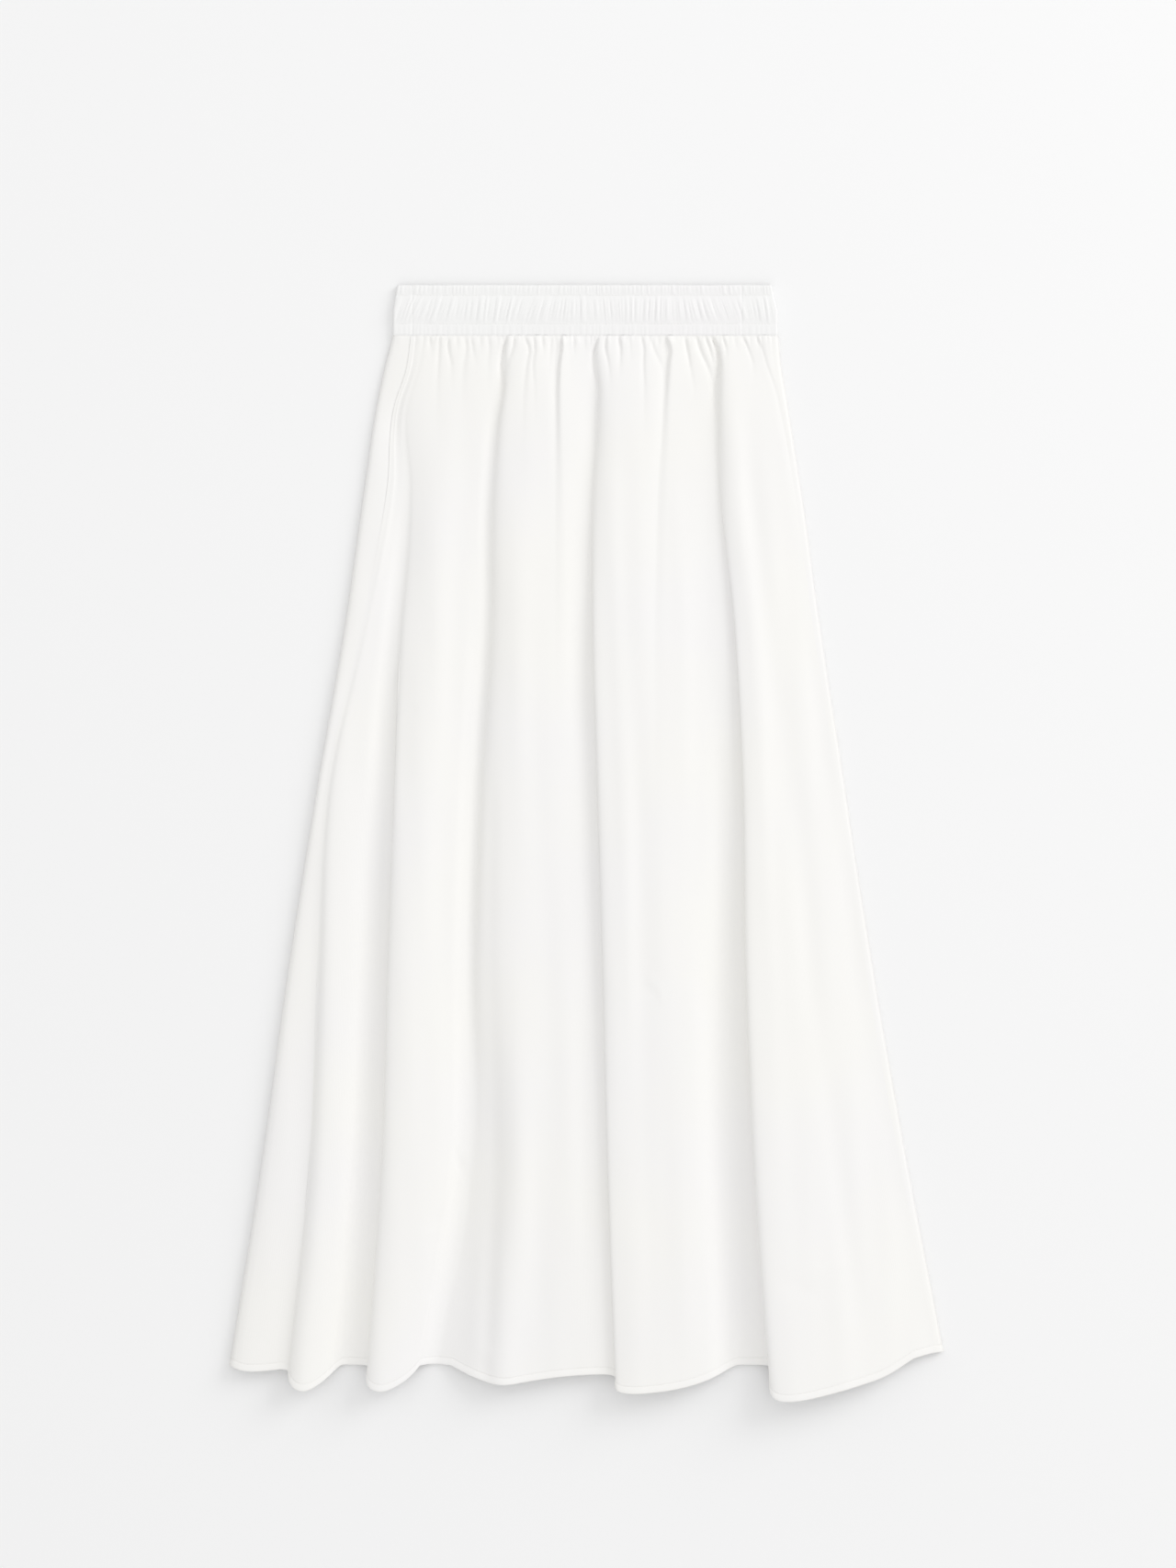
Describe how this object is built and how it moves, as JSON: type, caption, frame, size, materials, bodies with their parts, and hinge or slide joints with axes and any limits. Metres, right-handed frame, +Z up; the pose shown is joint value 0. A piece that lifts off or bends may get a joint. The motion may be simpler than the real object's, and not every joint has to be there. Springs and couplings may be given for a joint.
{
  "type": "gathered maxi skirt",
  "caption": "Flared, gathered maxi skirt with an elastic waistband, laid flat with its front up and its soft folds raised.",
  "frame": {"origin": "bottom centre of the box round the skirt, on the surface that it lies on", "axes": "+Y from hem to waist, +X to the viewer's right, +Z up off the surface"},
  "size_m": [0.6371, 0.9945, 0.0255],
  "materials": {
    "poplin": "matt white cotton poplin"
  },
  "bodies": {
    "root": {"skirt_front": "poplin", "skirt_back": "poplin", "waistband_front": "poplin", "waistband_back": "poplin"}
  },
  "joints": []
}
